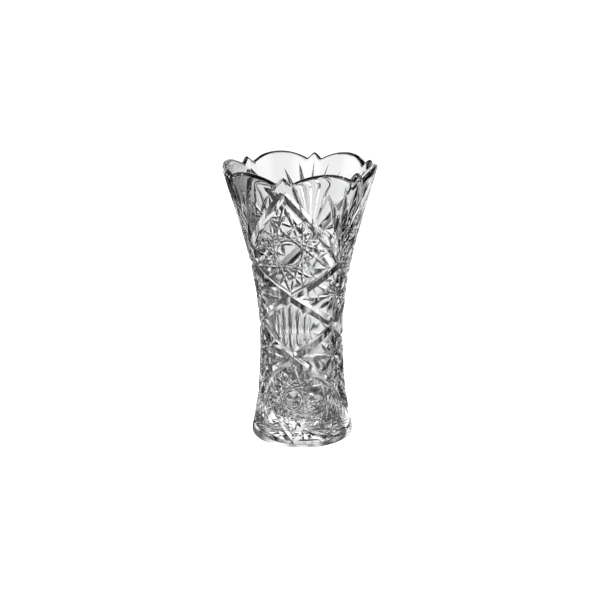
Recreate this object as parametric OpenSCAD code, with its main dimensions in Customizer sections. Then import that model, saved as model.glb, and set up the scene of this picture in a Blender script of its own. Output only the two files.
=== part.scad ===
// Cut crystal vase, one heavy piece of clear glass: a thick solid base, a narrow waist and a wide
// flared mouth with a scalloped rim. Three star columns, at 0, 120 and 240 degrees round the vase,
// alternate with three ray columns, and a net of wide diagonal cuts frames both.
// Angles are measured round the vase from -Y, the middle of a star column, towards +X.
// The origin is the centre of the foot, and +Z is up.

/* [Body] */
// Height from the foot to the crests of the rim's lobes
height = 205; // [190:1:230]
// Radius of the foot
foot_r = 38; // [36:0.5:42]
// Height of the foot's upright edge
foot_edge_h = 3; // [2:0.5:5]
// Radius of the waist
waist_r = 30.8; // [30:0.1:33]
// Radius at the crest of the rim
rim_r = 56.2; // [53:0.1:60]

/* [Hollow] */
// Thickness of the solid base
base_t = 14; // [10:0.5:18]
// Radius of the hollow just above its floor
floor_r = 21.5; // [18:0.5:22]
// Thickness of the wall at the waist
waist_wall = 6.5; // [5.5:0.1:7.5]
// Thickness of the lip
lip_t = 5; // [4:0.1:6]
// Radius that rounds the floor of the hollow into its wall
floor_round = 6; // [3:0.5:8]
// Radius of the shallow hollow under the foot
recess_r = 25; // [15:0.5:28]
// Depth of the shallow hollow under the foot
recess_h = 1.2; // [0.5:0.1:2]

/* [Rim] */
// Number of lobes, with a pointed tip between each pair
lobes = 6; // [6]
// Drop from a lobe's crest to the valleys beside a tip
valley_drop = 6.1; // [3:0.1:8]
// Drop from a lobe's crest to the point of a tip
tip_drop = 1; // [0:0.1:2]
// Angle from the middle of a tip to its valley
tip_half = 5.7; // [4:0.1:8]

/* [Diagonal net] */
// Width of the wide diagonal cuts
net_w = 6.2; // [4:0.1:6.6]
// Depth of the wide diagonal cuts
net_d = 1.8; // [1:0.1:2.2]

/* [Star columns] */
// Width of the crossing cuts of a star
chord_w = 1.9; // [1.2:0.1:2.5]
// Depth of the crossing cuts of a star
chord_d = 0.8; // [0.5:0.1:1.2]
// Number of crossing cuts in a star
star_cuts = 5; // [4:1:5]
// Radius of the round boss in the upper star
upper_boss_r = 9.3; // [8:0.1:10]
// Radius of the round boss in the lower star
lower_boss_r = 7.6; // [6.5:0.1:8.5]
// Number of upright flutes between the two stars
flutes = 5; // [3:2:5]

/* [Ray columns] */
// Width of the rays
ray_w = 3.2; // [2:0.1:4]
// Depth of the rays
ray_d = 1.4; // [0.8:0.1:1.8]
// Number of rays in the upper ray star
upper_rays = 12; // [8:2:12]
// Number of rays in the lower ray star
lower_rays = 8; // [6:2:8]
// Number of leaves in the upper fan
upper_leaves = 5; // [3:2:5]
// Number of leaves in the lower fan
lower_leaves = 5; // [3:2:5]

/* [Hidden] */

glass_colour = [0.90, 0.92, 0.93];
columns = 3;                       // star columns round the vase
turn = 360 / columns;
half_turn = turn / 2;              // from a star column to the next ray column

// Crossings of the net from the top down, by turns in a star column and in a ray column.
net_levels = [0.933, 0.666, 0.554, 0.440, 0.328, 0.210, 0.026] * height;
cross_a = [for (i = [0:2:6]) net_levels[i]];
cross_b = [for (i = [1:2:5]) net_levels[i]];
upper_star_z = 0.719 * height;
lower_star_z = 0.1735 * height;
upper_rays_z = 0.550 * height;
lower_rays_z = 0.327 * height;
net_bow = 2;                       // how far the topmost cuts hang below a straight line
net_stagger = 0.12;                // how much lower the cuts that wind the other way are
ray_start = 1.2;                   // distance of a ray's inner point from its star's centre

// The outline is a smooth curve through stations of [height, radius, slope].
waist_z = 0.36 * height;
outer_stations = [
    [foot_edge_h, foot_r, -0.21],
    [0.17 * height, waist_r + 0.28 * (foot_r - waist_r), -0.10],
    [waist_z, waist_r, 0],
    [0.65 * height, waist_r + 0.25 * (rim_r - waist_r), 0.207],
    [0.88 * height, waist_r + 0.74 * (rim_r - waist_r), 0.30],
    [height, rim_r, 0.225],
];
inner_stations = [
    [base_t, floor_r, 0.035],
    [waist_z, waist_r - waist_wall, 0.065],
    [0.65 * height, waist_r + 0.25 * (rim_r - waist_r) - 6.2, 0.19],
    [0.88 * height, waist_r + 0.74 * (rim_r - waist_r) - 5.7, 0.31],
    [height, rim_r - lip_t, 0.25],
];

outer_rings = 7;
inner_rings = 5;
foot_round = 1;                    // bevel under the foot's edge
lip_steps = 4;
cut_clear = 1.5;                   // how far a cutter stands out of the surface
longest_step = 18;                 // angle that a straight stretch of a star's cut may span
longest_cut = 18;                  // how far a star's cut may run past the boss
wedge_faces = [[0, 1, 2], [3, 5, 4], [0, 3, 4, 1], [1, 4, 5, 2], [2, 5, 3, 0]];

function station(s, z, i = 0) = i >= len(s) - 2 || z < s[i + 1][0] ? i : station(s, z, i + 1);

// Cubic curve through the stations.
function curve(s, z) =
    let (i = station(s, z), a = s[i], b = s[i + 1], h = b[0] - a[0], t = (z - a[0]) / h,
         t2 = t * t, t3 = t2 * t)
    (2 * t3 - 3 * t2 + 1) * a[1] + (t3 - 2 * t2 + t) * h * a[2]
    + (3 * t2 - 2 * t3) * b[1] + (t3 - t2) * h * b[2];

function outer_r(z) = z < foot_edge_h ? foot_r : curve(outer_stations, z);
function inner_r(z) = curve(inner_stations, z);

// Height of the lip: a low arch over each lobe, and a straight-sided tip between two lobes.
function rim_z(phi) =
    let (step = 360 / lobes, a = abs(phi - step * round(phi / step)))
    a < tip_half
        ? height - tip_drop - (valley_drop - tip_drop) * a / tip_half
        : height - valley_drop * pow((step / 2 - a) / (step / 2 - tip_half), 2);

// Angles of the blank's columns of points: both valleys, the tip and the lobe's arch between them.
lobe_step = 360 / lobes;
arch_steps = 4;
arch = (lobe_step - 2 * tip_half) / arch_steps;
column_turns = [for (i = [0:lobes - 1])
    each [i * lobe_step, for (k = [0:arch_steps]) i * lobe_step + tip_half + k * arch]];

function at(r, phi, z) = [r * sin(phi), -r * cos(phi), z];

// Point at a depth under the outer surface, measured square to it.
function slope(z) = atan2(outer_r(z + 0.5) - outer_r(z - 0.5), 1);
function normal_at(phi, z) = at(cos(slope(z)), phi, -sin(slope(z)));
function under(phi, z, depth) = at(outer_r(z), phi, z) - depth * normal_at(phi, z);

function unit(v) = v / norm(v);
function mix(a, b, t) = a + t * (b - a);
function line(a, b, steps) = [for (i = [0:steps]) mix(a, b, i / steps)];

// Outline of the blank at one angle: from the middle of the underside, up the outside, over the
// lip and down the inside to the floor.
function outline(phi) =
    let (lip_z = rim_z(phi) - lip_t / 2)
    concat(
        [[recess_r, recess_h], [recess_r + recess_h, 0], [foot_r - foot_round, 0],
         [foot_r, foot_round], [foot_r, foot_edge_h]],
        [for (i = [1:outer_rings])
            let (z = mix(foot_edge_h, lip_z, i / outer_rings)) [outer_r(z), z]],
        [for (i = [1:lip_steps - 1])
            let (a = 180 * i / lip_steps, o = outer_r(lip_z), n = inner_r(lip_z))
            [mix(n, o, (1 + cos(a)) / 2) + 0.5 * sin(a), lip_z + sin(a) * lip_t / 2]],
        [for (i = [0:inner_rings])
            let (z = mix(lip_z, base_t + floor_round, i / inner_rings)) [inner_r(z), z]],
        [for (a = [30:30:90])
            [inner_r(base_t + floor_round) - floor_round * (1 - cos(a)),
             base_t + floor_round * (1 - sin(a))]]
    );

// The vase before it is cut.
module blank() {
    rows = [for (phi = column_turns) [for (p = outline(phi)) at(p[0], phi, p[1])]];
    blank_sides = len(rows);
    n = len(rows[0]);
    points = [for (row = rows) each row];
    sides = [for (j = [0:blank_sides - 1], i = [0:n - 2])
        let (a = j * n + i, b = ((j + 1) % blank_sides) * n + i)
        each [[a, a + 1, b], [b, a + 1, b + 1]]];
    under_face = [for (j = [0:blank_sides - 1]) j * n];
    floor_face = [for (j = [blank_sides - 1:-1:0]) j * n + n - 1];
    polyhedron(points, concat(sides, [under_face, floor_face]));
}

// Three corners of a V cutter's section at one point of its path.
function knife(path, i, w, d) =
    let (p = path[i], q = path[min(i + 1, len(path) - 1)], o = path[max(i - 1, 0)],
         n = normal_at(p[0], p[1]),
         along = unit(under(q[0], q[1], 0) - under(o[0], o[1], 0)),
         side = cross(n, along), k = (d + cut_clear) / d)
    [under(p[0], p[1], d), under(p[0], p[1], -cut_clear) + side * w / 2 * k,
     under(p[0], p[1], -cut_clear) - side * w / 2 * k];

// V cut along a path of [angle, height]. sizes scales its width and depth at each point.
module v_cut(path, w, d, sizes) {
    for (i = [0:len(path) - 2])
        hull() polyhedron(concat(knife(path, i, w * sizes[i], d * sizes[i]),
                                 knife(path, i + 1, w * sizes[i + 1], d * sizes[i + 1])),
                          wedge_faces);
}

module even_cut(path, w, d) { v_cut(path, w, d, [for (p = path) 1]); }

// Leaf-shaped cut: a point at its start, widest past its middle, and a short point at its end.
leaf_sizes = [0.1, 1, 0.1];
module leaf_cut(a, b, w, d) { v_cut(line(a, b, len(leaf_sizes) - 1), w, d, leaf_sizes); }

// Height of the net's cut at a share of the way, 0 to 1, between crossing i and the next one.
function net_z(i, t) =
    mix(net_levels[i], net_levels[i + 1], t) - (i == 0 ? net_bow * sin(180 * t) : 0);

// One wide cut of the net. It winds down once round the vase, from the top of one star column to
// the foot of the same one, and runs a little past both ends so that its mirror image crosses it.
module net_helix(lower) {
    steps = 3;
    past = 0.03;
    last = len(net_levels) - 2;
    path = concat(
        [[-past, net_z(0, -past)]],
        [for (i = [0:last], k = [0:steps - 1])
            let (t = (k + 0.5) / steps) [i + t, net_z(i, t)]],
        [[last + 1 + past, net_z(last, 1 + past)]]
    );
    even_cut([for (p = path) [half_turn * p[0], p[1] - lower]], net_w, net_d);
}

// Angle on the surface that is worth a length at a height.
function turn_for(length, z) = length / outer_r(z) * 180 / PI;

// How far a line from [x, y] along [dx, dy] runs before it meets a frame of four slanted sides:
// the frame reaches up, down and half_w from the star's centre.
function reach(x, y, dx, dy, up, down, half_w) =
    min([for (s = [[1, up], [-1, up], [1, -down], [-1, -down]])
        let (nx = s[0] * abs(s[1]) / half_w, ny = sign(s[1]),
             rate = nx * dx + ny * dy, room = abs(s[1]) - nx * x - ny * y)
        rate > 0.01 ? room / rate : 1000]);

// Star of crossing cuts, each touching the boss, clipped by the frame of the net.
module crossing_star(z, boss, up, down, half_w) {
    for (i = [0:star_cuts - 1]) {
        a = 360 * (i + 0.5) / star_cuts;
        px = (boss + chord_w / 2) * cos(a);
        py = (boss + chord_w / 2) * sin(a);
        fore = min(longest_cut, reach(px, py, -sin(a), cos(a), up, down, half_w));
        aft = min(longest_cut, reach(px, py, sin(a), -cos(a), up, down, half_w));
        ends = [for (s = [fore, -aft])
            [turn_for(px - s * sin(a), z), z + py + s * cos(a)]];
        steps = ceil(abs(ends[0][0] - ends[1][0]) / longest_step);
        even_cut(line(ends[0], ends[1], max(steps, 1)), chord_w, chord_d);
    }
}

// Round boss: what a ring cut leaves standing in its middle.
module boss(z, r) {
    steps = 10;
    ring_w = 1.8;
    ring_d = 0.9;
    ring_r = r - ring_w / 2;
    even_cut([for (i = [0:steps]) let (a = 360 * i / steps)
                [turn_for(ring_r * cos(a), z), z + ring_r * sin(a)]], ring_w, ring_d);
}

module star_column() {
    margin = 3.2;
    crossing_star(upper_star_z, upper_boss_r, cross_a[0] - upper_star_z - 2 * margin,
                  upper_star_z - cross_a[1] - margin, 33);
    boss(upper_star_z, upper_boss_r);
    flute_turn = 9.8;
    flute_w = 4.6;
    flute_d = 1.1;
    for (i = [-(flutes - 1) / 2:(flutes - 1) / 2]) {
        phi = i * flute_turn;
        inset = margin + abs(phi) / half_turn;
        low = mix(cross_a[2], cross_b[1], abs(phi) / half_turn) + inset;
        high = mix(cross_a[1], cross_b[1], abs(phi) / half_turn) - inset;
        leaf_cut([phi, low], [phi, high], flute_w, flute_d);
    }
    crossing_star(lower_star_z, lower_boss_r, cross_a[2] - lower_star_z - margin,
                  lower_star_z - cross_a[3] - margin, 27);
    boss(lower_star_z, lower_boss_r);
}

// Star of leaf-shaped rays out of one point, clipped by the frame of the net.
module ray_star(z, rays, w, up, down, half_w) {
    for (i = [0:rays - 1]) {
        a = 360 * i / rays;
        long = reach(0, 0, cos(a), sin(a), up, down, half_w);
        tip = [half_turn + turn_for(long * cos(a), z), z + long * sin(a)];
        root = [half_turn + turn_for(ray_start * cos(a), z), z + ray_start * sin(a)];
        leaf_cut(root, tip, w, ray_d);
    }
}

// Fan of leaves out of one crossing of the net.
module fan(z, leaves, spread, reach_z, fall, w) {
    for (i = [-(leaves - 1) / 2:(leaves - 1) / 2]) {
        tip = [half_turn + i * spread, reach_z - fall * i * i];
        leaf_cut([half_turn + i * 0.6, mix(z, reach_z, 0.06)], tip, w, ray_d);
    }
}

module ray_column() {
    margin = 3.4;
    fan(cross_b[0], upper_leaves, 12.8, 0.957 * height, 1.3, 5.2);
    ray_star(upper_rays_z, upper_rays, ray_w, cross_b[0] - upper_rays_z - margin,
             upper_rays_z - cross_b[1] - margin, 29);
    ray_star(lower_rays_z, lower_rays, ray_w * 1.3, cross_b[1] - lower_rays_z - margin,
             lower_rays_z - cross_b[2] - margin, 27);
    fan(cross_b[2], lower_leaves, 12, 0.055 * height, -0.25, 4.6);
}

module glass_vase() {
    color(glass_colour) difference() {
        blank();
        for (i = [0:columns - 1]) rotate(i * turn) {
            net_helix(0);
            mirror([1, 0, 0]) net_helix(net_stagger);
            star_column();
            ray_column();
        }
    }
}

glass_vase();
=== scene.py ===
import math

import bmesh
import bpy
from mathutils import Matrix, Vector


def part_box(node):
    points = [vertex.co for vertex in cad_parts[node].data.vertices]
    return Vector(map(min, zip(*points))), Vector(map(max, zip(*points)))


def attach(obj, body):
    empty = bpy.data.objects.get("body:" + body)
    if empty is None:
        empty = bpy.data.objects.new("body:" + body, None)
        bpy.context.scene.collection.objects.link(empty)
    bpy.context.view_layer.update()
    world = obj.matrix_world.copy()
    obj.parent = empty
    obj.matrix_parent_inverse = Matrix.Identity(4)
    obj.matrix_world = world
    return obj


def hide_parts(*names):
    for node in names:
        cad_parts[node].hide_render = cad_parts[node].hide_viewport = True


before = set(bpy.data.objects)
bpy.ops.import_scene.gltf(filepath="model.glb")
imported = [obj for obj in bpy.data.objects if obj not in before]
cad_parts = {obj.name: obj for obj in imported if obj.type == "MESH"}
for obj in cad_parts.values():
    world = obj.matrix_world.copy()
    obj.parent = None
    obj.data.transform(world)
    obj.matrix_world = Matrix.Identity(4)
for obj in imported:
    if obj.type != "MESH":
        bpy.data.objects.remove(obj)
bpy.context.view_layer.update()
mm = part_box("glass_vase")[1].z / 205   # one millimetre on a vase 205 mm high
turn = 2 * math.pi

# The glass before it is cut. Stations are (height, radius, slope) along its two outlines.
blank = {
    "height": 205 * mm,
    "footRadius": 38 * mm,
    "footEdge": 3 * mm,                # the foot's upright edge
    "footBevel": 0.9 * mm,
    "recessRadius": 25 * mm,           # shallow hollow under the foot
    "recessDepth": 1.2 * mm,
    "floorHeight": 14 * mm,            # the solid base
    "floorRound": 6 * mm,
    "lip": 5 * mm,
    "columns": 288,
    "ringGap": 3.4 * mm,
    "outside": [(3 * mm, 38 * mm, -0.21), (34.85 * mm, 32.82 * mm, -0.10),
                (73.8 * mm, 30.8 * mm, 0), (133.25 * mm, 37.15 * mm, 0.207),
                (180.4 * mm, 49.6 * mm, 0.30), (205 * mm, 56.2 * mm, 0.225)],
    "inside": [(14 * mm, 21.5 * mm, 0.035), (73.8 * mm, 24.3 * mm, 0.065),
               (133.25 * mm, 30.95 * mm, 0.19), (180.4 * mm, 43.9 * mm, 0.31),
               (205 * mm, 51.2 * mm, 0.25)],
}

# The rim: a low arch over each lobe and a pointed tip between two lobes.
rim = {
    "lobes": 6,
    "valleyDrop": 6.1 * mm,
    "tipDrop": 0.9 * mm,
    "tipHalf": math.radians(5.7),
    "soft": math.radians(0.9),         # how round the tips and valleys are
    "slideFrom": 172 * mm,             # below this height nothing follows the rim
}


def cubic(stations, z):
    i = 0
    while i < len(stations) - 2 and z >= stations[i + 1][0]:
        i += 1
    (z0, r0, m0), (z1, r1, m1) = stations[i], stations[i + 1]
    h = z1 - z0
    t = (z - z0) / h
    return ((2 * t**3 - 3 * t**2 + 1) * r0 + (t**3 - 2 * t**2 + t) * h * m0
            + (3 * t**2 - 2 * t**3) * r1 + (t**3 - t**2) * h * m1)


def slopeOf(stations, z):
    return (cubic(stations, z + 0.2 * mm) - cubic(stations, z - 0.2 * mm)) / (0.4 * mm)


def onGlass(angle, z):
    # point on the uncut outside and the direction square to it; angle 0 faces -Y
    radius, slope = cubic(blank["outside"], z), slopeOf(blank["outside"], z)
    way = Vector((math.sin(angle), -math.cos(angle), 0))
    return way * radius + Vector((0, 0, z)), (way - Vector((0, 0, slope))).normalized()


def outlinePoints():
    # (radius, height, slope, share of the rim's fall), from the underside's middle to the floor's
    b = blank
    lipZ = b["height"] - b["lip"] / 2

    def share(z):
        t = max(0, min(1, (z - rim["slideFrom"]) / (lipZ - rim["slideFrom"])))
        return t * t * (3 - 2 * t)

    bevel, edge = b["footBevel"], b["footRadius"]
    rows = [(0, b["recessDepth"]), (b["recessRadius"] * 0.5, b["recessDepth"]),
            (b["recessRadius"], b["recessDepth"]), (b["recessRadius"] + 1.6 * mm, 0),
            (b["recessRadius"] + 4 * mm, 0), (edge - bevel - 3 * mm, 0)]
    rows += [(edge - bevel * (1 - math.sin(a)), bevel * (1 - math.cos(a)))
             for a in (0, math.pi / 6, math.pi / 3, math.pi / 2)]
    rows = [(r, z, 0, 0) for r, z in rows]
    count = round((lipZ - b["footEdge"]) / b["ringGap"])
    for i in range(count + 1):
        z = b["footEdge"] + (lipZ - b["footEdge"]) * i / count
        rows.append((cubic(b["outside"], z), z, slopeOf(b["outside"], z), share(z)))
    outer, inner = cubic(b["outside"], lipZ), cubic(b["inside"], lipZ)
    slope = slopeOf(b["outside"], lipZ)
    for i in range(1, 10):             # over the lip
        a = math.pi * i / 10
        rise = math.sin(a) * b["lip"] / 2
        rows.append(((outer + inner) / 2 + math.cos(a) * (outer - inner) / 2 + rise * slope,
                     lipZ + rise, slope, 1))
    bend = b["floorHeight"] + b["floorRound"]
    count = round((lipZ - bend) / (1.4 * b["ringGap"]))
    for i in range(count + 1):
        z = lipZ - (lipZ - bend) * i / count
        rows.append((cubic(b["inside"], z), z, slopeOf(b["inside"], z), share(z)))
    for i in range(1, 7):              # round the floor's corner
        a = math.pi / 2 * i / 6
        rows.append((cubic(b["inside"], bend) - b["floorRound"] * (1 - math.cos(a)),
                     bend - b["floorRound"] * math.sin(a), 0, 0))
    return rows + [(rows[-1][0] / 2, b["floorHeight"], 0, 0), (0, b["floorHeight"], 0, 0)]


def lineMesh(name, points, edges, numbers=None, vectors=None):
    mesh = bpy.data.meshes.new(name)
    mesh.from_pydata(points, edges, [])
    for label, values in (numbers or {}).items():
        mesh.attributes.new(label, "FLOAT", "POINT").data.foreach_set("value", values)
    for label, values in (vectors or {}).items():
        flat = [x for v in values for x in v]
        mesh.attributes.new(label, "FLOAT_VECTOR", "POINT").data.foreach_set("vector", flat)
    item = bpy.data.objects.new(name, mesh)
    bpy.context.scene.collection.objects.link(item)
    return item


# --- helpers for the node trees
def newTree(name, inputs):
    tree = bpy.data.node_groups.new(name, "GeometryNodeTree")
    tree.interface.new_socket("Geometry", in_out="INPUT", socket_type="NodeSocketGeometry")
    tree.interface.new_socket("Geometry", in_out="OUTPUT", socket_type="NodeSocketGeometry")
    for label, kind, value in inputs:
        socket = tree.interface.new_socket(label, in_out="INPUT", socket_type="NodeSocket" + kind)
        if value is not None:
            socket.default_value = value
    source = tree.nodes.new("NodeGroupInput")
    return tree, source.outputs


def put(tree, kind, wires, **settings):
    node = tree.nodes.new(kind)
    for name, value in settings.items():
        setattr(node, name, value)
    for name, value in wires.items():
        socket = node.inputs[name]
        if isinstance(value, bpy.types.NodeSocket):
            tree.links.new(value, socket)
        else:
            socket.default_value = value
    return node.outputs


def calc(tree, operation, *terms):
    return put(tree, "ShaderNodeMath", dict(enumerate(terms)), operation=operation)[0]


def runTree(item, tree, values):
    # sets the modifier's inputs by socket identifier and gives back the finished plain mesh
    modifier = item.modifiers.new(tree.name, "NODES")
    modifier.node_group = tree
    sockets = {s.name: s.identifier for s in tree.interface.items_tree if s.in_out == "INPUT"}
    for name, value in values.items():
        modifier[sockets[name]] = value
    bpy.context.view_layer.update()
    evaluated = item.evaluated_get(bpy.context.evaluated_depsgraph_get())
    mesh = bpy.data.meshes.new_from_object(evaluated)
    item.modifiers.clear()
    item.data = mesh
    return item


def turnTree():
    # spins the outline round the axis and lets the upper wall follow the scalloped rim
    tree, given = newTree("turnBlank", [
        ("Outline", "Object", None), ("Columns", "Int", 288), ("Lobes", "Int", 6),
        ("Valley Drop", "Float", 0.006), ("Tip Drop", "Float", 0.001),
        ("Tip Half Angle", "Float", 0.1), ("Softness", "Float", 0.01),
        ("Glass", "Material", None)])
    outline = put(tree, "GeometryNodeObjectInfo", {"Object": given["Outline"]})["Geometry"]
    count = put(tree, "GeometryNodeAttributeDomainSize", {"Geometry": outline})["Point Count"]
    columns = given["Columns"]
    grid = put(tree, "GeometryNodeMeshGrid",
               {"Vertices X": calc(tree, "ADD", columns, 1), "Vertices Y": count})["Mesh"]
    index = put(tree, "GeometryNodeInputIndex", {})[0]
    row = calc(tree, "MODULO", index, count)
    column = calc(tree, "FLOOR", calc(tree, "DIVIDE", index, count))

    def sampled(kind, value):
        return put(tree, "GeometryNodeSampleIndex",
                   {"Geometry": outline, "Value": value, "Index": row}, data_type=kind)["Value"]

    def named(label):
        return put(tree, "GeometryNodeInputNamedAttribute", {"Name": label},
                   data_type="FLOAT")["Attribute"]

    place = put(tree, "ShaderNodeSeparateXYZ",
                {0: sampled("FLOAT_VECTOR", put(tree, "GeometryNodeInputPosition", {})[0])})
    angle = calc(tree, "DIVIDE", calc(tree, "MULTIPLY", column, turn), columns)
    lobeHalf = calc(tree, "DIVIDE", math.pi, given["Lobes"])
    away = calc(tree, "PINGPONG", angle, lobeHalf)
    softAway = calc(tree, "SQRT", calc(tree, "ADD", calc(tree, "POWER", away, 2),
                                       calc(tree, "POWER", given["Softness"], 2)))
    steep = calc(tree, "DIVIDE", calc(tree, "SUBTRACT", given["Valley Drop"], given["Tip Drop"]),
                 given["Tip Half Angle"])
    tooth = calc(tree, "MULTIPLY_ADD", steep, softAway, given["Tip Drop"])
    across = calc(tree, "DIVIDE", calc(tree, "SUBTRACT", lobeHalf, away),
                  calc(tree, "SUBTRACT", lobeHalf, given["Tip Half Angle"]))
    arch = calc(tree, "MULTIPLY", given["Valley Drop"], calc(tree, "POWER", across, 2))
    drop = calc(tree, "SMOOTH_MIN", tooth, arch, calc(tree, "MULTIPLY", steep, given["Softness"]))
    fall = calc(tree, "MULTIPLY", drop, sampled("FLOAT", named("rimShare")))
    radius = calc(tree, "SUBTRACT", place["X"],
                  calc(tree, "MULTIPLY", sampled("FLOAT", named("slope")), fall))
    spot = put(tree, "ShaderNodeCombineXYZ", {
        "X": calc(tree, "MULTIPLY", radius, calc(tree, "SINE", angle)),
        "Y": calc(tree, "MULTIPLY", calc(tree, "MULTIPLY", radius, -1),
                  calc(tree, "COSINE", angle)),
        "Z": calc(tree, "SUBTRACT", place["Z"], fall)})[0]
    spun = put(tree, "GeometryNodeSetPosition", {"Geometry": grid, "Position": spot})[0]
    closed = put(tree, "GeometryNodeMergeByDistance", {"Geometry": spun, "Distance": 1e-6})[0]
    plain = put(tree, "GeometryNodeRealizeInstances", {"Geometry": closed})[0]
    out = put(tree, "GeometryNodeSetMaterial", {"Geometry": plain, "Material": given["Glass"]})[0]
    put(tree, "NodeGroupOutput", {"Geometry": out})
    return tree


finish = {
    "ior": 1.54,
    "tint": (0.985, 0.992, 0.99, 1),
    "polish": 0.004,                   # roughness of the polished glass
    "waveSize": 8 * mm,                # the slight flow of pressed glass
    "waveHeight": 0.05 * mm,
    "insideDull": 0.12,                # added roughness of the inside wall below the flare
    "dullTop": 168 * mm,               # the dullness starts here and is full a fade lower
    "dullFade": 40 * mm,
    "footFrost": 0.12,                 # roughness where the foot is worn
    "footWear": 0.06 * mm,             # how far up the foot it reaches
}


def crystal():
    material = bpy.data.materials.new("crystal")
    material.use_nodes = True
    tree = material.node_tree
    shader = tree.nodes["Principled BSDF"]
    shader.inputs["Transmission Weight"].default_value = 1
    shader.inputs["IOR"].default_value = finish["ior"]
    shader.inputs["Base Color"].default_value = finish["tint"]
    place = put(tree, "ShaderNodeTexCoord", {})["Object"]
    flow = put(tree, "ShaderNodeTexNoise", {"Vector": place, "Scale": 1 / finish["waveSize"],
                                            "Detail": 1.0, "Roughness": 0.4})[0]
    bump = put(tree, "ShaderNodeBump", {"Height": flow, "Distance": finish["waveHeight"],
                                        "Strength": 1.0})[0]
    tree.links.new(bump, shader.inputs["Normal"])
    height = put(tree, "ShaderNodeSeparateXYZ", {0: place})["Z"]
    worn = put(tree, "ShaderNodeMapRange", {"Value": height, "From Min": finish["footWear"],
                                            "From Max": 0.0, "To Min": finish["polish"],
                                            "To Max": finish["footFrost"]})["Result"]
    dull = put(tree, "ShaderNodeAttribute", {}, attribute_name="insideDullness")["Fac"]
    rough = calc(tree, "MULTIPLY_ADD", dull, finish["insideDull"], worn)
    tree.links.new(rough, shader.inputs["Roughness"])
    return material


glass = crystal()
outlineRows = outlinePoints()
outline = lineMesh("outline", [(r, 0, z) for r, z, _, _ in outlineRows],
                   [(i, i + 1) for i in range(len(outlineRows) - 1)],
                   {"slope": [s for _, _, s, _ in outlineRows],
                    "rimShare": [f for _, _, _, f in outlineRows]})
vase = bpy.data.objects.new("cutGlassVase", bpy.data.meshes.new("cutGlassVase"))
bpy.context.scene.collection.objects.link(vase)
runTree(vase, turnTree(), {
    "Outline": outline, "Columns": blank["columns"], "Lobes": rim["lobes"],
    "Valley Drop": rim["valleyDrop"], "Tip Drop": rim["tipDrop"],
    "Tip Half Angle": rim["tipHalf"], "Softness": rim["soft"], "Glass": glass})
print("blank turned:", len(vase.data.polygons), "faces")

# The cutting wheels' sections, in half widths: (across, out). Each stands proud of the glass.
wheels = {
    "mitre": [(-2.4, 0.81), (-0.02, -0.57), (0.02, -0.57), (2.4, 0.81)],
    "star": [(-2.4, 0.80), (-0.05, -0.55), (0.05, -0.55), (2.4, 0.80)],
    "ring": [(-1.8, 0.8), (-0.45, -0.55), (0.45, -0.55), (1.8, 0.8)],
    "leaf": [(-2.6, 0.42), (-0.45, -0.06), (-0.02, -0.42), (0.02, -0.42), (0.45, -0.06),
             (2.6, 0.42)],
    "under": [(-2.4, 0.81), (-0.02, -0.4), (0.02, -0.4), (2.4, 0.81)],
    "flute": [(math.sin(math.radians(a)) * 1.615, 1.27 - math.cos(math.radians(a)) * 1.615)
              for a in range(-84, 85, 12)],
}
lineStep = 2.4 * mm                    # between two points of a cut

# The pattern, in (angle, height). Star columns stand at 0 degrees, ray columns half a repeat on.
pattern = {
    "repeats": 3,
    "netLevels": [z * blank["height"] for z in (0.933, 0.666, 0.554, 0.440, 0.328, 0.210, 0.026)],
    "netHalf": 3.2 * mm,
    "netBow": 2 * mm,                  # how far the topmost cuts hang below a straight line
    "netEnd": (0.03, 1.2 * mm, 0.2 * mm),      # run-out of a net cut: angle, height, half width
    "margin": 3.6 * mm,                # plain glass left beside the net
    "starCuts": 16,
    "starSkip": 6,                     # a cut joins each tip of a star to the sixth one after it
    "starReach": 36 * mm,              # the longest a tip may be
    "starMargin": 3.4 * mm,            # and how near the net it may come
    "starGap": 0.9 * mm,               # from a boss to the middle of the cuts beside it
    "upperStar": {"z": 0.719 * blank["height"], "boss": 9.3 * mm, "half": 1.45 * mm,
                  "dish": (0.25 * mm, 0.35 * mm)},     # depth of a boss's middle and edge
    "lowerStar": {"z": 0.1735 * blank["height"], "boss": 7.6 * mm, "half": 1.35 * mm,
                  "dish": (0.1 * mm, 3.0 * mm)},
    "ringHalf": 0.95 * mm,
    "plug": 4 * mm,                    # how far the bosses' cutters reach in and out of the glass
    "flutes": 5,
    "fluteTurn": math.radians(9.8),
    "fluteHalf": 2.6 * mm,
    "fluteInset": 4.8 * mm,            # from the middle of a net cut to a flute's end, upwards
    "rayRoot": 0.4 * mm,               # the rays start this far from their centre
    "upperRays": {"z": 0.550 * blank["height"], "count": 12, "half": 2.3 * mm},
    "lowerRays": {"z": 0.327 * blank["height"], "count": 8, "half": 3.2 * mm},
    "upperFan": {"count": 5, "spread": math.radians(12.8), "tip": 0.957 * blank["height"],
                 "fall": 1.3 * mm, "half": 5.3 * mm},
    "lowerFan": {"count": 7, "spread": math.radians(9.9), "tip": 0.055 * blank["height"],
                 "fall": -0.30 * mm, "half": 3.2 * mm},
    "fanRoot": (math.radians(0.7), 0.05),      # between two leaves' roots; share left plain below
    "footStar": {"count": 24, "from": 1.5 * mm, "to": 23.5 * mm, "half": 2.3 * mm},
}
halfTurn = turn / pattern["repeats"] / 2
crossA = pattern["netLevels"][0::2]    # the net's crossings in a star column, from the top
crossB = pattern["netLevels"][1::2]    # and in a ray column


def mix(a, b, t):
    return a + t * (b - a)


def chart(angle, z, x, y):
    # the place that lies x across and y up from a point of the surface
    return angle + x / cubic(blank["outside"], z), z + y


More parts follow.
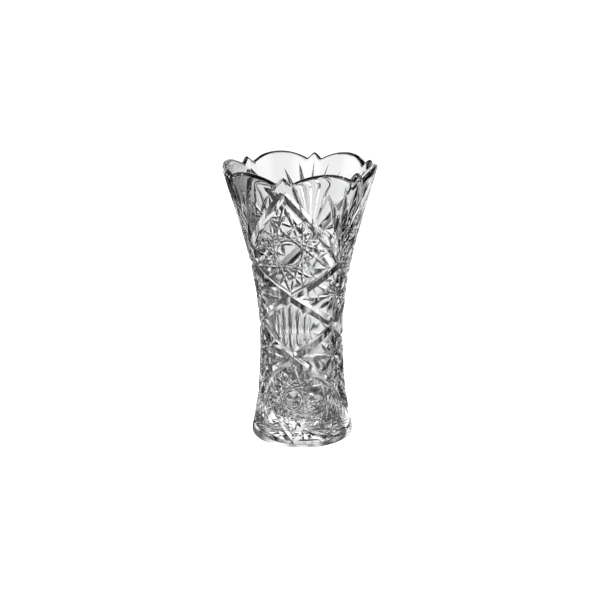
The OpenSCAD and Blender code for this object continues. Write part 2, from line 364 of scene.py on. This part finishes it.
def alongLine(start, end, size, shape):
    # evenly spaced (angle, height, half width); shape gives the share of the width at 0 to 1
    radius = cubic(blank["outside"], (start[1] + end[1]) / 2)
    length = math.hypot((end[0] - start[0]) * radius, end[1] - start[1])
    count = max(6, round(length / lineStep))
    return [(mix(start[0], end[0], i / count), mix(start[1], end[1], i / count),
             size * shape(i / count)) for i in range(count + 1)]


def leafShape(t):
    # a long point at the root, widest past the middle, and a shorter point at the end
    peak = 0.62
    return max(0.02, t / peak if t < peak else ((1 - t) / (1 - peak))**0.8)


def tipShape(t):
    # a point at the start, then even
    return max(0.05, min(1, t * 5))


def fluteShape(t):
    return max(0.05, min(1, math.sin(math.pi * t) * 3)**0.5)


def netCut(side):
    # one wide cut, winding down once round the vase
    levels, steps, path = pattern["netLevels"], 24, []
    for i in range(len(levels) - 1):
        for k in range(steps + (i == len(levels) - 2)):
            t = k / steps
            bow = pattern["netBow"] * math.sin(math.pi * t) if i == 0 else 0
            path.append((side * halfTurn * (i + t), mix(levels[i], levels[i + 1], t) - bow,
                         pattern["netHalf"]))
    start, end = path[0], path[-1]
    aside, further, half = pattern["netEnd"]
    return ([(start[0] - side * aside, start[1] + further, half)] + path
            + [(end[0] + side * aside, end[1] - further, half)])


def frameReach(way, corners, margin):
    # how far a line from a frame's centre runs before it comes within margin of a side
    reaches = []
    for i, corner in enumerate(corners):
        side = corners[(i + 1) % 4] - corner
        inward = Vector((-side.y, side.x)).normalized()
        room = -corner.dot(inward) - margin
        rate = -way.dot(inward)
        if rate > 1e-6:
            reaches.append(room / rate)
    return min(reaches)


def frameCorners(z, topZ, sideZ, bottomZ):
    # the net's frame round a centre, in lengths across and up, anticlockwise
    half = halfTurn * cubic(blank["outside"], (z + sideZ) / 2)
    return [Vector((0, topZ - z)), Vector((-half, sideZ - z)), Vector((0, bottomZ - z)),
            Vector((half, sideZ - z))]


def crossingStar(star, corners):
    # a cut runs from each tip past the boss to a tip on its other side, so two cuts meet in a tip
    z, cuts, skip, lines = star["z"], pattern["starCuts"], pattern["starSkip"], []
    ways = [Vector((math.cos(turn * i / cuts), math.sin(turn * i / cuts))) for i in range(cuts)]
    tips = [way * min(pattern["starReach"], frameReach(way, corners, pattern["starMargin"]))
            for way in ways]
    for i in range(cuts):
        middle = ways[(i + skip // 2) % cuts] * (star["boss"] + pattern["starGap"])
        first, last = [alongLine(chart(0, z, *tip), chart(0, z, *middle), star["half"], tipShape)
                       for tip in (tips[i], tips[(i + skip) % cuts])]
        lines.append(first + last[-2::-1])
    return lines


def bossRing(star):
    # the groove round a boss
    radius, count = star["boss"] - pattern["ringHalf"], 64
    return [(*chart(0, star["z"], radius * math.cos(turn * i / count),
                    radius * math.sin(turn * i / count)), pattern["ringHalf"])
            for i in range(count)]


def rayStar(star, corners):
    # pointed cuts from the centre to the frame
    lines = []
    for i in range(star["count"]):
        a = turn * i / star["count"]
        way = Vector((math.cos(a), math.sin(a)))
        reach = frameReach(way, corners, pattern["margin"])
        root, tip = [chart(halfTurn, star["z"], *(way * out)) for out in (pattern["rayRoot"], reach)]
        lines.append(alongLine(root, tip, star["half"], leafShape))
    return lines


def fan(z, leaves):
    # leaves that spread from a crossing of the net; the outer tips stop short of the middle one
    lines, middle = [], (leaves["count"] - 1) / 2
    rootTurn, plain = pattern["fanRoot"]
    for i in range(leaves["count"]):
        k = i - middle
        root = (halfTurn + k * rootTurn, mix(z, leaves["tip"], plain))
        tip = (halfTurn + k * leaves["spread"], leaves["tip"] - leaves["fall"] * k * k)
        lines.append(alongLine(root, tip, leaves["half"], leafShape))
    return lines


def fluteLines():
    # upright flutes that end just inside the frame
    lines, middle = [], (pattern["flutes"] - 1) / 2
    for i in range(pattern["flutes"]):
        angle = (i - middle) * pattern["fluteTurn"]
        out = abs(angle) / halfTurn
        bottom = mix(crossA[2], crossB[1], out) + pattern["fluteInset"]
        top = mix(crossA[1], crossB[1], out) - pattern["fluteInset"]
        lines.append(alongLine((angle, bottom), (angle, top), pattern["fluteHalf"], fluteShape))
    return lines


def underFoot(angle, radius):
    # point on the hollow under the foot and the direction square to it
    return (Vector((math.sin(angle) * radius, -math.cos(angle) * radius, blank["recessDepth"])),
            Vector((0, 0, -1)))


def footStar():
    # rays in the hollow under the foot; a place is (angle, radius)
    star, lines = pattern["footStar"], []
    for i in range(star["count"] // pattern["repeats"]):
        angle = turn * i / star["count"]
        lines.append([(angle, mix(star["from"], star["to"], t), star["half"] * leafShape(t))
                      for t in (k / 10 for k in range(11))])
    return lines


def cutLines():
    # each wheel's lines, its closed loops and the surface that they lie on
    upper, lower = pattern["upperStar"], pattern["lowerStar"]
    high, low = pattern["upperRays"], pattern["lowerRays"]
    mitres = [netCut(1), netCut(-1)]
    mitres += rayStar(high, frameCorners(high["z"], crossB[0], crossA[1], crossB[1]))
    mitres += rayStar(low, frameCorners(low["z"], crossB[1], crossA[2], crossB[2]))
    leaves = fan(crossB[0], pattern["upperFan"]) + fan(crossB[2], pattern["lowerFan"])
    stars = crossingStar(upper, frameCorners(upper["z"], crossA[0], crossB[0], crossA[1]))
    stars += crossingStar(lower, frameCorners(lower["z"], crossA[2], crossB[2], crossA[3]))
    return {"mitre": (mitres,), "star": (stars,), "leaf": (leaves,),
            "ring": ((), [bossRing(upper), bossRing(lower)]),
            "flute": (fluteLines(),), "under": (footStar(), (), underFoot)}


def linesObject(name, lines, loops=(), place=onGlass):
    # one object of edges that stores each point's half width and outward direction
    points, edges, outward, half = [], [], [], []
    for line, closed in [(l, False) for l in lines] + [(l, True) for l in loops]:
        first = len(points)
        for angle, z, size in line:
            point, normal = place(angle, z)
            points.append(point)
            outward.append(normal)
            half.append(size)
        edges += [(i, i + 1) for i in range(first, len(points) - 1)]
        if closed:
            edges.append((len(points) - 1, first))
    return lineMesh(name, points, edges, {"halfWidth": half}, {"outward": outward})


def dishObject(name, dishes):
    # round cutters, one for each boss: (depth in the middle, depth at the edge) shapes its face
    build, rings, sides = bmesh.new(), 6, 40
    for z, radius, (middle, rimmed) in dishes:
        rows = []
        for r in range(rings + 1):
            t = r / rings
            row = []
            for i in range(sides):
                a = turn * i / sides
                place = chart(0, z, radius * t * math.cos(a), radius * t * math.sin(a))
                point, normal = onGlass(*place)
                row.append(build.verts.new(point - normal * mix(middle, rimmed, t * t)))
                if r == 0:
                    break
            rows.append(row)
        top = [build.verts.new(v.co + onGlass(0, z)[1] * pattern["plug"]) for v in rows[-1]]
        rows.append(top)
        for i in range(sides):
            j = (i + 1) % sides
            build.faces.new((rows[0][0], rows[1][j], rows[1][i]))
            for r in range(1, rings + 1):
                build.faces.new((rows[r][i], rows[r][j], rows[r + 1][j], rows[r + 1][i]))
        build.faces.new(top)
    bmesh.ops.recalc_face_normals(build, faces=build.faces)
    mesh = bpy.data.meshes.new(name)
    build.to_mesh(mesh)
    build.free()
    item = bpy.data.objects.new(name, mesh)
    bpy.context.scene.collection.objects.link(item)
    return item


def sweepTree():
    # sweeps one wheel's section along its lines; each line's half width and outward way are stored
    tree, given = newTree("sweepWheel", [
        ("Lines", "Object", None), ("Section", "Object", None), ("Width", "Float", 1.0)])

    def objectMesh(label):
        return put(tree, "GeometryNodeObjectInfo", {"Object": given[label]})["Geometry"]

    def named(label, kind):
        return put(tree, "GeometryNodeInputNamedAttribute", {"Name": label},
                   data_type=kind)["Attribute"]

    curve = put(tree, "GeometryNodeMeshToCurve", {"Mesh": objectMesh("Lines")})[0]
    section = put(tree, "GeometryNodeMeshToCurve", {"Mesh": objectMesh("Section")})[0]
    facing = put(tree, "GeometryNodeSetCurveNormal",
                 {"Curve": curve, "Normal": named("outward", "FLOAT_VECTOR")}, mode="FREE")[0]
    size = calc(tree, "MULTIPLY", named("halfWidth", "FLOAT"), given["Width"])
    swept = put(tree, "GeometryNodeCurveToMesh",
                {"Curve": facing, "Profile Curve": section, "Scale": size, "Fill Caps": True})[0]
    put(tree, "NodeGroupOutput", {"Geometry": swept})
    return tree


def cutTree():
    # sweeps every wheel, repeats the cutters round the axis and takes them off the glass
    kinds = [kind.title() for kind in wheels]
    inputs = [(kind + part, "Object", None) for kind in kinds for part in (" Lines", " Section")]
    inputs += [(kind + " Width", "Float", 1.0) for kind in kinds]
    tree, given = newTree("wheelCut", inputs + [
        ("Dishes", "Object", None), ("Bosses", "Object", None), ("Repeats", "Int", 3),
        ("Glass", "Material", None)])
    sweep = sweepTree()

    def objectMesh(label):
        return put(tree, "GeometryNodeObjectInfo", {"Object": given[label]})["Geometry"]

    def pieces(mesh):
        island = put(tree, "GeometryNodeInputMeshIsland", {})["Island Index"]
        return put(tree, "GeometryNodeSplitToInstances", {"Geometry": mesh, "Group ID": island},
                   domain="FACE")[0]

    def boolean(first, second, operation):
        wires = {"Mesh 2": second} if first is None else {"Mesh 1": first, "Mesh 2": second}
        return put(tree, "GeometryNodeMeshBoolean", wires, operation=operation,
                   solver="MANIFOLD")[0]

    join = tree.nodes.new("GeometryNodeJoinGeometry")
    tree.links.new(objectMesh("Dishes"), join.inputs[0])
    for kind in kinds:
        swept = put(tree, "GeometryNodeGroup", {}, node_tree=sweep)
        for label in ("Lines", "Section", "Width"):
            tree.links.new(given[kind + " " + label], swept[0].node.inputs[label])
        cutter = swept[0]
        if kind == "Star":             # the star's cuts stop at its two bosses
            cutter = boolean(boolean(None, pieces(cutter), "UNION"), pieces(objectMesh("Bosses")),
                             "DIFFERENCE")
        tree.links.new(cutter, join.inputs[0])
    spots = put(tree, "GeometryNodeMeshLine", {"Count": given["Repeats"], "Offset": (0, 0, 0)})[0]
    number = put(tree, "GeometryNodeInputIndex", {})[0]
    spin = put(tree, "ShaderNodeCombineXYZ", {
        "Z": calc(tree, "DIVIDE", calc(tree, "MULTIPLY", number, turn), given["Repeats"])})[0]
    ring = put(tree, "GeometryNodeInstanceOnPoints",
               {"Points": spots, "Instance": join.outputs[0], "Rotation": spin})[0]
    cutters = put(tree, "GeometryNodeRealizeInstances", {"Geometry": ring})[0]
    cut = boolean(given["Geometry"], pieces(cutters), "DIFFERENCE")
    plain = put(tree, "GeometryNodeRealizeInstances", {"Geometry": cut})[0]
    out = put(tree, "GeometryNodeSetMaterial", {"Geometry": plain, "Material": given["Glass"]})[0]
    put(tree, "NodeGroupOutput", {"Geometry": out})
    return tree


bothStars = (pattern["upperStar"], pattern["lowerStar"])
helpers = {
    "Dishes": dishObject("dishes", [(star["z"], star["boss"] - 1.6 * pattern["ringHalf"],
                                     star["dish"]) for star in bothStars]),
    "Bosses": dishObject("bosses", [(star["z"], star["boss"], (pattern["plug"], pattern["plug"]))
                                    for star in bothStars]),
}
for kind, lines in cutLines().items():
    helpers[kind.title() + " Lines"] = linesObject(kind + "Lines", *lines)
for kind, corners in wheels.items():
    helpers[kind.title() + " Section"] = lineMesh(
        kind + "Section", [(out, across, 0) for across, out in reversed(corners)],
        [(i, (i + 1) % len(corners)) for i in range(len(corners))])
runTree(vase, cutTree(), {**helpers, "Repeats": pattern["repeats"], "Glass": glass})
for helper in list(helpers.values()) + [outline]:
    bpy.data.objects.remove(helper)
print("pattern cut:", len(vase.data.polygons), "faces")


def dullness(point):
    # 1 on the inside low down, where the pressing plunger leaves the glass less bright
    z, radius = point.z, math.hypot(point.x, point.y)
    wallMiddle = (cubic(blank["outside"], z) + cubic(blank["inside"], z)) / 2
    if radius > wallMiddle or z < blank["floorHeight"] - 1 * mm:
        return 0
    return max(0, min(1, (finish["dullTop"] - z) / finish["dullFade"]))


def finishMesh(item):
    # keeps every cut's edge crisp between smooth faces
    build = bmesh.new()
    build.from_mesh(item.data)
    openEdges = sum(1 for e in build.edges if len(e.link_faces) != 2)
    print("glass", round(build.calc_volume(signed=True) * 1e6, 1), "cm3,", openEdges, "open edges")
    build.to_mesh(item.data)
    build.free()
    dull = item.data.attributes.new("insideDullness", "FLOAT", "POINT")
    dull.data.foreach_set("value", [dullness(v.co) for v in item.data.vertices])
    item.data.shade_smooth()
    item.data.set_sharp_from_angle(angle=math.radians(14))


finishMesh(vase)
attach(vase, "root")
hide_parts("glass_vase")
print("vase finished")

# The view: distances in vase heights, angles in degrees.
view = {"away": 3.9905, "up": 1.704, "round": 12.3, "down": 16.82, "roll": -0.55, "lens": 69.44,
        "shift": -0.0019}


def addCamera():
    # stands off to the right of the front and looks down on the vase
    data = bpy.data.cameras.new("camera")
    data.lens = view["lens"]
    data.sensor_width = 36
    data.shift_x = view["shift"]
    data.clip_start = 0.01
    camera = bpy.data.objects.new("camera", data)
    bpy.context.scene.collection.objects.link(camera)
    a = math.radians(view["round"])
    place = Vector((math.sin(a) * view["away"], -math.cos(a) * view["away"], view["up"]))
    camera.matrix_world = (Matrix.Translation(place * blank["height"])
                           @ Matrix.Rotation(a, 4, "Z")
                           @ Matrix.Rotation(math.radians(90 - view["down"]), 4, "X")
                           @ Matrix.Rotation(math.radians(view["roll"]), 4, "Z"))
    bpy.context.scene.camera = camera


addCamera()

# The studio: a pale floor, and light panels all round that only the glass sees.
studio = {
    "floorSize": 60.0,
    "floorShade": 0.93,
    "panels": 4,                       # upright light panels round the vase, one behind it
    "panelShare": 0.54,                # how much of the round they fill
    "panelTurn": 14,                   # degrees the first one stands to the right of the view
    "panelLow": -26,                   # degrees above the horizon
    "panelHigh": 42,
    "sideSoft": 20,                    # degrees over which a panel fades
    "topSoft": 20,
    "lowSoft": 8,
    "panelLight": 0.80,
    "skyLift": 0.34,                   # extra light of a panel's upper part
    "liftFrom": -13, "liftTo": 3,
    "gapLight": 0.03,                  # between the panels
    "ceilingLight": 0.16,
    "lowLight": 0.0,                   # below the panels
    "underLight": 0.66,                # straight below
    "underFrom": -50,
}


def addFloor():
    mesh = bpy.data.meshes.new("floor")
    s = studio["floorSize"] / 2
    mesh.from_pydata([(-s, -s, 0), (s, -s, 0), (s, s, 0), (-s, s, 0)], [], [(0, 1, 2, 3)])
    floor = bpy.data.objects.new("floor", mesh)
    bpy.context.scene.collection.objects.link(floor)
    pale = bpy.data.materials.new("paleFloor")
    pale.use_nodes = True
    shader = pale.node_tree.nodes["Principled BSDF"]
    shader.inputs["Base Color"].default_value = (0.9, 0.9, 0.9, 1)
    shader.inputs["Roughness"].default_value = 0.9
    shader.inputs["Emission Color"].default_value = (1, 1, 1, 1)
    shader.inputs["Emission Strength"].default_value = studio["floorShade"]
    mesh.materials.append(pale)
    floor.visible_transmission = False
    floor.visible_glossy = False


def smoothStep(tree, value, start, end):
    return put(tree, "ShaderNodeMapRange", {"Value": value, "From Min": start, "From Max": end},
               interpolation_type="SMOOTHSTEP")["Result"]


def blend(tree, amount, first, second):
    # first where amount is 0, second where it is 1
    return calc(tree, "MULTIPLY_ADD", amount, calc(tree, "SUBTRACT", second, first), first)


def addWorld():
    # light by direction; the camera itself sees the same pale shade as the floor
    world = bpy.data.worlds.new("studio")
    bpy.context.scene.world = world
    world.use_nodes = True
    tree = world.node_tree
    s = studio
    way = put(tree, "ShaderNodeSeparateXYZ",
              {0: put(tree, "ShaderNodeTexCoord", {})["Generated"]})
    height = calc(tree, "MULTIPLY", calc(tree, "ARCSINE", way["Z"]), 180 / math.pi)
    bearing = calc(tree, "ADD", calc(tree, "ARCTAN2", way["X"], way["Y"]),
                   math.radians(view["round"] - s["panelTurn"]))
    wave = calc(tree, "COSINE", calc(tree, "MULTIPLY", bearing, s["panels"]))
    edge = math.cos(math.pi * s["panelShare"])
    steep = math.radians(s["sideSoft"]) * s["panels"]
    beside = smoothStep(tree, wave, edge - steep / 2, edge + steep / 2)
    lift = calc(tree, "MULTIPLY", smoothStep(tree, height, s["liftFrom"], s["liftTo"]),
                s["skyLift"])
    belt = blend(tree, beside, s["gapLight"], calc(tree, "ADD", lift, s["panelLight"]))
    above = smoothStep(tree, height, s["panelHigh"] - s["topSoft"] / 2,
                       s["panelHigh"] + s["topSoft"] / 2)
    below = smoothStep(tree, height, s["panelLow"] + s["lowSoft"] / 2,
                       s["panelLow"] - s["lowSoft"] / 2)
    under = smoothStep(tree, height, s["underFrom"] + s["lowSoft"], s["underFrom"] - s["lowSoft"])
    light = blend(tree, above, belt, s["ceilingLight"])
    light = blend(tree, below, light, blend(tree, under, s["lowLight"], s["underLight"]))
    seen = put(tree, "ShaderNodeLightPath", {})["Is Camera Ray"]
    light = blend(tree, seen, light, s["floorShade"])
    tree.links.new(light, tree.nodes["Background"].inputs["Strength"])
    tree.nodes["Background"].inputs["Color"].default_value = (1, 1, 1, 1)


addFloor()
addWorld()
bpy.context.scene.view_settings.view_transform = "Standard"
bpy.context.scene.view_settings.look = "Medium High Contrast"
bpy.context.scene.cycles.transmission_bounces = 24
bpy.context.scene.cycles.max_bounces = 32
print("studio set")
